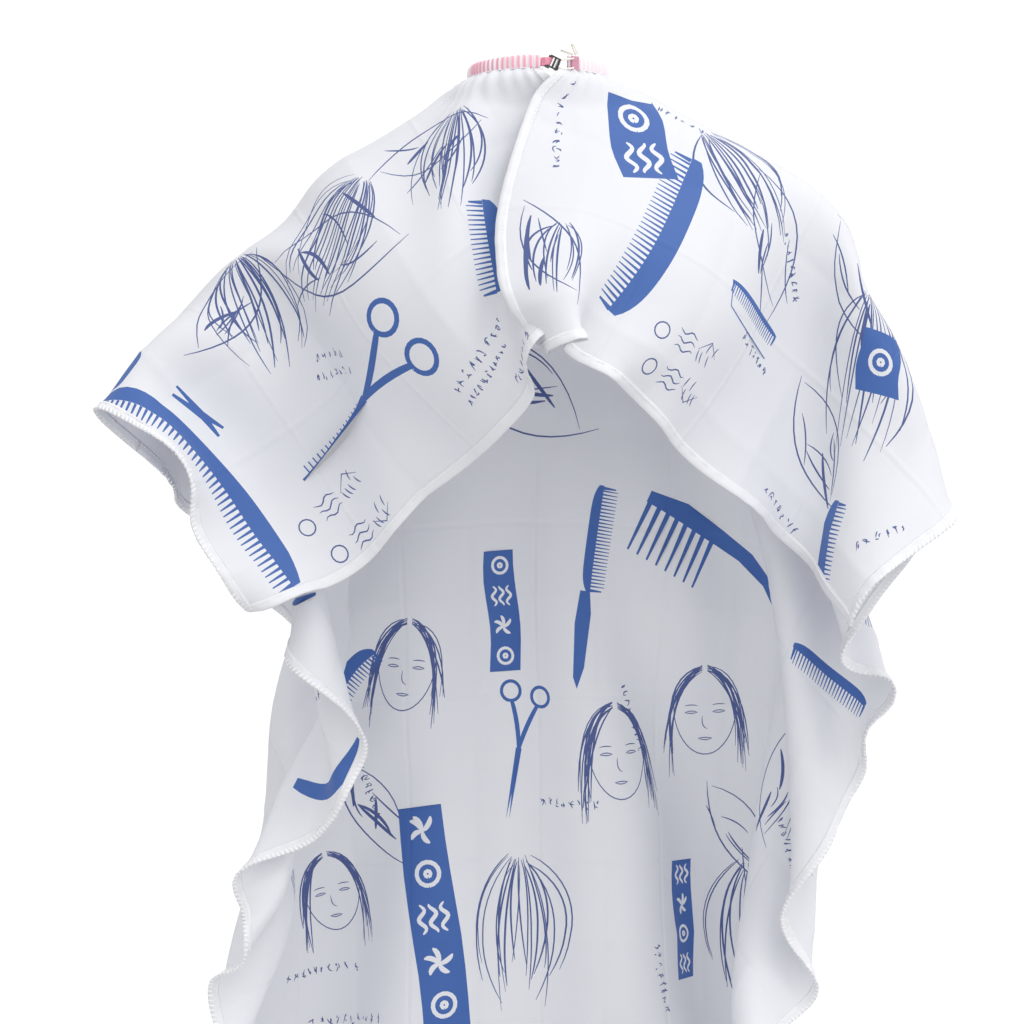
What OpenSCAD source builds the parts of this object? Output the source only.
// Barber cape, hung from its neckband as it is worn. Millimetres, +Z up.
// The origin is the centre of the neckband. The opening at the nape faces -Y and the front panel +Y.

/* [Neckband] */
// Inner radius of the closed neckband
neck_r = 56; // [50:1:62]
// Height of the neckband
band_h = 12; // [11:0.5:16]
// Wall of the folded casing
casing_wall = 0.8; // [0.5:0.1:1]
// Gap inside the casing for the elastic
casing_gap = 1.6; // [1.5:0.1:2]
// Turn from the nape to the casing's right end
right_end = 24; // [22:1:28]
// Turn from the nape to the casing's left end
left_end = 1; // [0:1:2]

/* [Elastic and hook] */
// Height of the elastic
elastic_h = 7.2; // [6:0.1:7.2]
// Thickness of the elastic
elastic_t = 1; // [0.8:0.1:1.2]
// Radius of the hook's eye bar
eye_r = 1.1; // [1:0.05:1.3]
// Reach from the eye bar to the hook's tongue
hook_reach = 8.2; // [8:0.1:9]
// Diameter of the loop cord
cord_d = 1.5; // [1.2:0.1:1.5]

/* [Cloth] */
// Thickness given to the cloth
cloth_t = 2; // [1:0.5:2]
// Width of the folded hems
hem_w = 8; // [6:1:10]
// Thickness of the folded hems
hem_t = 3; // [2:0.5:3]
// Width of the sheet as it is cut
sheet_w = 1040; // [1000:10:1100]
// Length of the front panel below the neckline
front_l = 1020; // [1000:10:1040]
// Length of the back flaps below the neckline
back_l = 245; // [235:5:255]

/* [Hidden] */
$fn = 64;

casing_r = neck_r + 2 * casing_wall + casing_gap;
band_r = (neck_r + casing_r) / 2;
collar_r = band_r + 1;
collar_z = -band_h / 2 - 2.5;

cloth_color = [0.86, 0.88, 0.93];
hem_color = [0.94, 0.95, 0.97];
elastic_color = [0.93, 0.45, 0.56];
cord_color = [0.93, 0.92, 0.86];
thread_color = [0.97, 0.97, 0.98];

// ---- Curves that the cloth hangs between -----------------------------------------------------

// Share of the top line of a patch that runs along the neckband
neck_share = 0.2;
front_neck_share = 0.15;

left_tip = [-356, -60, -272];
right_tip = [345, -60, -358];
left_bend = [[-4, -60, -20], [-312, -104, -334]];
right_bend = [[6, -72, -20], [322, -106, -360]];
left_hem = [[60, -108, -240], [-90, -150, -340], [-237, -25, -448]];
right_hem = [[8, -170, -238], [150, -165, -320], [262, -55, -470]];

function blend(a, b, t) = a + (b - a) * t;
function curve(p, t) = (1 - t) * (1 - t) * p[0] + 2 * t * (1 - t) * p[1] + t * t * p[2];
// The curve from a to c that passes through m halfway
function curve_through(a, m, c, t) = curve([a, 2 * m - (a + c) / 2, c], t);
function collar(turn) = [collar_r * sin(turn), -collar_r * cos(turn), collar_z];
function left_ridge(t) = curve([collar(-90), [-230, 20, -95], left_tip], t);
function right_ridge(t) = curve([collar(90), [300, 25, -60], right_tip], t);

// Shoulders: from the neckline and the ridge down to the line where the back flap bends
function left_top(t) = t < neck_share
    ? collar(blend(-2, -90, t / neck_share))
    : left_ridge((t - neck_share) / (1 - neck_share));
function right_top(t) = t < neck_share
    ? collar(blend(16, 90, t / neck_share))
    : right_ridge((t - neck_share) / (1 - neck_share));
shoulder_bulge = [0, -26, 10];
function left_shoulder_at(t, s) =
    blend(left_top(t), blend(left_bend[0], left_bend[1], t), s) + shoulder_bulge * 4 * s * (1 - s) * sin(180 * t);
function right_shoulder_at(t, s) =
    blend(right_top(t), blend(right_bend[0], right_bend[1], t), s) + shoulder_bulge * 4 * s * (1 - s) * sin(180 * t);

// Back flaps: from the bend line to the hem, the slit's edge at t = 0 and the side edge at t = 1
flap_folds = 3;
flap_fold_depth = 9;
function flap_fold(t, s) = [0, -flap_fold_depth * s * s * sin(360 * flap_folds * t) * sin(180 * t), 0];
left_middle = [[34, -88, -135], [-290, -112, -408]];
right_middle = [[-26, -128, -140], [318, -112, -436]];
function left_flap_at(t, s) = flap_fold(t, s) + curve_through(
    blend(left_bend[0], left_bend[1], t), blend(left_middle[0], left_middle[1], t), curve(left_hem, t), s);
function right_flap_at(t, s) = flap_fold(t, s) + curve_through(
    blend(right_bend[0], right_bend[1], t), blend(right_middle[0], right_middle[1], t), curve(right_hem, t), s);

// Front panel: t runs from the left tip round the front of the neck to the right tip, s from there to the hem
front_corner = [[-295, 55, -1098], [230, 55, -1104]];
front_waist = [[-215, 0, -590], [258, 5, -600]];
waist_swell = [0, 200, 50];
hem_swell = [0, 212, 60];
front_folds = 4;
front_fold_depth = 18;
function front_top(t) =
    t < 0.5 - front_neck_share ? left_ridge(1 - t / (0.5 - front_neck_share)) :
    t > 0.5 + front_neck_share ? right_ridge((t - 0.5 - front_neck_share) / (0.5 - front_neck_share)) :
    collar(blend(-90, -270, (t - 0.5 + front_neck_share) / (2 * front_neck_share)));
function front_fold(t, s) = [0, front_fold_depth * s * sin(360 * front_folds * t) * sin(180 * t), 0];
function front_at(t, s) = front_fold(t, s) + curve_through(
    front_top(t),
    blend(front_waist[0], front_waist[1], t) + waist_swell * sin(180 * t),
    blend(front_corner[0], front_corner[1], t) + hem_swell * sin(180 * t), s);

FRONT = 0;
LEFT_SHOULDER = 1;
RIGHT_SHOULDER = 2;
LEFT_FLAP = 3;
RIGHT_FLAP = 4;
function cloth_at(area, t, s) =
    area == FRONT ? front_at(t, s) :
    area == LEFT_SHOULDER ? left_shoulder_at(t, s) :
    area == RIGHT_SHOULDER ? right_shoulder_at(t, s) :
    area == LEFT_FLAP ? left_flap_at(t, s) : right_flap_at(t, s);

// ---- A closed sheet over one part of an area ---------------------------------------------------

function unit(v) = v / norm(v);
probe = 0.002;
function cloth_normal(area, t, s) = unit(cross(
    cloth_at(area, t + probe, s) - cloth_at(area, t - probe, s),
    cloth_at(area, t, s + probe) - cloth_at(area, t, s - probe)));

// The part of an area between ts[0] and ts[1] across and ss[0] and ss[1] down, as a closed sheet
module sheet(area, ts, ss, thick, across, down) {
    columns = across + 1;
    layer = columns * (down + 1);
    spots = [for (j = [0:down]) for (i = [0:across])
        [blend(ts[0], ts[1], i / across), blend(ss[0], ss[1], j / down)]];
    places = [for (p = spots) cloth_at(area, p[0], p[1])];
    sides = [for (p = spots) cloth_normal(area, p[0], p[1]) * thick / 2];
    points = concat(places + sides, places - sides);
    rim = concat(
        [for (i = [0:across]) i],
        [for (j = [1:down]) j * columns + across],
        [for (i = [1:across]) down * columns + across - i],
        [for (j = [1:down - 1]) (down - j) * columns]);
    faces = concat(
        [for (j = [0:down - 1]) for (i = [0:across - 1]) let (a = j * columns + i)
            each [[a, a + 1, a + columns], [a + 1, a + columns + 1, a + columns]]],
        [for (j = [0:down - 1]) for (i = [0:across - 1]) let (a = layer + j * columns + i)
            each [[a, a + columns, a + 1], [a + 1, a + columns, a + columns + 1]]],
        [for (k = [0:len(rim) - 1]) let (a = rim[k], b = rim[(k + 1) % len(rim)])
            each [[a, layer + a, b], [b, layer + a, layer + b]]]);
    polyhedron(points, faces);
}

// Shares of a patch that a hem and the gap beside it take
seam_gap = 3;
side_share = hem_w / sheet_w;
side_gap = (hem_w + seam_gap) / sheet_w;
front_share = hem_w / front_l;
front_gap = (hem_w + seam_gap) / front_l;
half_share = 2 * side_share;
half_gap = 2 * side_gap;
back_share = hem_w / back_l;
back_gap = (hem_w + seam_gap) / back_l;
// Room left at the top of each patch, so that the areas stay apart
front_start = 0.012;
shoulder_start = 0.06;
shoulder_stop = 0.97;
flap_start = 0.03;

// ---- Cloth and hems ------------------------------------------------------------------------------

module front_panel() {
    color(cloth_color) sheet(FRONT, [side_gap, 1 - side_gap], [front_start, 1 - front_gap], cloth_t, 56, 26);
}

module front_hem() {
    color(hem_color) sheet(FRONT, [0, 1], [1 - front_share, 1], hem_t, 56, 1);
}

module left_side_hem() {
    color(hem_color) {
        sheet(FRONT, [0, side_share], [front_start, 1 - front_gap], hem_t, 1, 26);
        sheet(LEFT_SHOULDER, [1 - side_share, 1], [shoulder_start, shoulder_stop], hem_t, 1, 6);
    }
}

module right_side_hem() {
    color(hem_color) {
        sheet(FRONT, [1 - side_share, 1], [front_start, 1 - front_gap], hem_t, 1, 26);
        sheet(RIGHT_SHOULDER, [1 - side_share, 1], [shoulder_start, shoulder_stop], hem_t, 1, 6);
    }
}

module left_shoulder() {
    color(cloth_color)
        sheet(LEFT_SHOULDER, [0.01, 1 - side_gap], [shoulder_start, shoulder_stop], cloth_t, 30, 8);
}

module right_shoulder() {
    color(cloth_color)
        sheet(RIGHT_SHOULDER, [0.01, 1 - side_gap], [shoulder_start, shoulder_stop], cloth_t, 30, 8);
}

module left_back_flap() {
    color(cloth_color) sheet(LEFT_FLAP, [half_gap, 1 - half_gap], [flap_start, 1 - back_gap], cloth_t, 36, 12);
}

module right_back_flap() {
    color(cloth_color) sheet(RIGHT_FLAP, [half_gap, 1 - half_gap], [flap_start, 1 - back_gap], cloth_t, 36, 12);
}

module left_flap_hem() {
    color(hem_color) sheet(LEFT_FLAP, [0, 1], [1 - back_share, 1], hem_t, 36, 1);
}

module right_flap_hem() {
    color(hem_color) sheet(RIGHT_FLAP, [0, 1], [1 - back_share, 1], hem_t, 36, 1);
}

module left_slit_hem() {
    color(hem_color) sheet(LEFT_FLAP, [0, half_share], [flap_start, 1 - back_gap], hem_t, 1, 12);
}

module right_slit_hem() {
    color(hem_color) sheet(RIGHT_FLAP, [0, half_share], [flap_start, 1 - back_gap], hem_t, 1, 12);
}

module left_flap_side_hem() {
    color(hem_color) sheet(LEFT_FLAP, [1 - half_share, 1], [flap_start, 1 - back_gap], hem_t, 1, 12);
}

module right_flap_side_hem() {
    color(hem_color) sheet(RIGHT_FLAP, [1 - half_share, 1], [flap_start, 1 - back_gap], hem_t, 1, 12);
}

// ---- Neckband --------------------------------------------------------------------------------------

// A ring of square section between two turns from the nape
module ring_part(inner, outer, low, high, start, stop) {
    rotate([0, 0, start - 90])
        rotate_extrude(angle = stop - start, $fn = 180)
            translate([inner, low])
                square([outer - inner, high - low]);
}

module neckband_casing() {
    color(hem_color) difference() {
        ring_part(neck_r, casing_r, -band_h / 2, band_h / 2, right_end, 360 + left_end);
        ring_part(neck_r + casing_wall, casing_r - casing_wall, 0.8 - band_h / 2, band_h / 2 - 0.8,
                  right_end + 1, 360 + left_end + 1);
    }
}

// The hook stands across the gap at the nape. Its frame starts at the eye bar: X points along the
// gap to the right, Y away from the neck and Z up along the bars, which lean to the right.
eye_turn = 8;
chord_turn = 12.5;
eye_out = 0.9;
lean = 24;
module at_gap() {
    rotate([0, 0, eye_turn]) translate([0, -band_r - eye_out, 0]) rotate([0, 0, chord_turn - eye_turn])
        mirror([0, 1, 0]) children();
}
module at_hook() {
    at_gap() rotate([0, lean, 0]) children();
}

pivot_gap = 0.08;
fold_r = eye_r + pivot_gap + elastic_t;
flange_r = 2.1;
// Height from the middle of the eye bar to where the corners of the elastic are cut away
flange_room = elastic_h / 2 + 0.15;

module elastic_band() {
    color(elastic_color) difference() {
        union() {
            ring_part(band_r - elastic_t / 2, band_r + elastic_t / 2, -elastic_h / 2, elastic_h / 2,
                      right_end + 2, 360 + eye_turn);
            at_hook() translate([0, 0, -elastic_h / 2]) cylinder(h = elastic_h, r = fold_r);
        }
        at_hook() {
            translate([0, 0, -elastic_h]) cylinder(h = 2 * elastic_h, r = eye_r + pivot_gap);
            translate([0, 0, flange_room]) cylinder(h = elastic_h, r = flange_r + 0.5);
            translate([0, 0, -flange_room - elastic_h]) cylinder(h = elastic_h, r = flange_r + 0.5);
        }
    }
}

// Zigzag stitching that holds the fold of the elastic round the eye bar
module elastic_bartack() {
    rows = 3;
    color(elastic_color) for (k = [0:rows - 1])
        ring_part(band_r + elastic_t / 2 + 0.02, band_r + elastic_t / 2 + 0.42,
                  -elastic_h / 2 + 0.6, elastic_h / 2 - 0.6, 2 + 0.8 * k, 2.4 + 0.8 * k);
}

tongue_low = -1.8;
tongue_high = 2.8;
tongue_t = 1.5;
flange_h = 1.1;
arm_y = 3.5;
arm_t = 1.2;
bow_x = 3.6;
bow_t = 1.7;
hook_top = elastic_h / 2 + 0.3 + flange_h;

// One of the two arms from the eye bar's flange to the tongue
module hook_arm() {
    cylinder(h = flange_h, r = flange_r);
    translate([-1.2, 0, 0]) cube([2.4, arm_y + arm_t, flange_h]);
    translate([-1.2, arm_y, 0]) cube([hook_reach - 0.2, arm_t, flange_h]);
}

// The tongue is an arc about the eye bar, so turning the hook draws it straight out of the loop
module hook() {
    color([0.06, 0.06, 0.07]) at_hook() {
        translate([0, 0, -hook_top]) cylinder(h = 2 * hook_top, r = eye_r);
        translate([0, 0, hook_top - flange_h]) hook_arm();
        translate([0, 0, -hook_top]) hook_arm();
        translate([bow_x - bow_t / 2, arm_y, -hook_top]) cube([bow_t, arm_t, 2 * hook_top]);
        rotate([0, 0, -8]) rotate_extrude(angle = 40)
            translate([hook_reach - tongue_t / 2, tongue_low]) square([tongue_t, tongue_high - tongue_low]);
        rotate([0, 0, 24.5]) rotate_extrude(angle = 8.5)
            translate([hook_reach - tongue_t / 2, -hook_top]) square([tongue_t, 2 * hook_top]);
    }
}

// A cord swept along a flat path, where across is a unit vector at right angles to the path's plane
cord_sides = 8;
module cord(path, across) {
    last = len(path) - 1;
    points = [for (k = [0:last])
        let (along = unit(path[min(k + 1, last)] - path[max(k - 1, 0)]), up = cross(across, along))
            for (n = [0:cord_sides - 1]) let (a = 360 * n / cord_sides)
                path[k] + (across * cos(a) + up * sin(a)) * cord_d / 2];
    skin = [for (k = [0:last - 1]) for (n = [0:cord_sides - 1])
        let (m = (n + 1) % cord_sides, near = k * cord_sides, far = near + cord_sides)
            each [[near + n, far + n, near + m], [near + m, far + n, far + m]]];
    ends = [[for (n = [0:cord_sides - 1]) n], [for (n = [0:cord_sides - 1]) last * cord_sides + cord_sides - 1 - n]];
    color(cord_color) polyhedron(points, concat(skin, ends));
}

// A path from a to d with rounded corners at b and c
bend_r = 1.5;
function rounded(a, b, c) =
    let (way = [b + unit(a - b) * bend_r, b, b + unit(c - b) * bend_r]) [for (t = [0:0.25:1]) curve(way, t)];
function loop_path(a, b, c, d) = concat([a], rounded(a, b, c), rounded(b, c, d), [d]);

// The loop in use runs from the bartack round the tongue and back
loop_y = 1.9;
loop_x = hook_reach - tongue_t / 2 - 0.4 - cord_d / 2;
loop_low = -4.8;
loop_high = 4.2;
function leaned(x, z) = [x * cos(lean) + z * sin(lean), loop_y, z * cos(lean) - x * sin(lean)];
module cord_loop_inner() {
    at_gap() cord(loop_path([20.5, loop_y, -4.6], leaned(loop_x, loop_low), leaned(loop_x, loop_high),
                            [20.5, loop_y, 3.2]), [0, 1, 0]);
}

// The two spare loops stand on the bartack and swing about their feet
bartack_t = 3;
bartack_start = 26;
bartack_stop = 32.5;
foot_r = casing_r + bartack_t / 2;
foot_z = band_h / 2 + 0.3 + cord_d / 2;
loop_half = 1.6;
module spare_loop(turn, rise, length) {
    far = [-length * cos(rise), 0, length * sin(rise)];
    side = [0, loop_half, 0];
    rotate([0, 0, turn]) translate([0, -foot_r, foot_z])
        cord(loop_path(-side, far - side, far + side, side), [sin(rise), 0, cos(rise)]);
}

module cord_loop_middle() {
    spare_loop(27.5, 12, 11);
}

module cord_loop_outer() {
    spare_loop(31, 60, 9);
}

module loop_bartack() {
    color(thread_color)
        ring_part(casing_r, casing_r + bartack_t, -band_h / 2, band_h / 2, bartack_start, bartack_stop);
}

// A row of stitches round the lower edge of the casing
module neckline_stitching() {
    stitch = 2.6;
    pitch = 4;
    color(thread_color) for (turn = [right_end + 14:pitch:352])
        ring_part(casing_r + 0.02, casing_r + 0.3, -band_h / 2 + 0.7, -band_h / 2 + 1.2, turn, turn + stitch);
}

neckband_casing();
elastic_band();
elastic_bartack();
hook();
cord_loop_inner();
cord_loop_middle();
cord_loop_outer();
loop_bartack();
neckline_stitching();
front_panel();
left_shoulder();
right_shoulder();
left_back_flap();
right_back_flap();
front_hem();
left_side_hem();
right_side_hem();
left_flap_hem();
right_flap_hem();
left_slit_hem();
right_slit_hem();
left_flap_side_hem();
right_flap_side_hem();
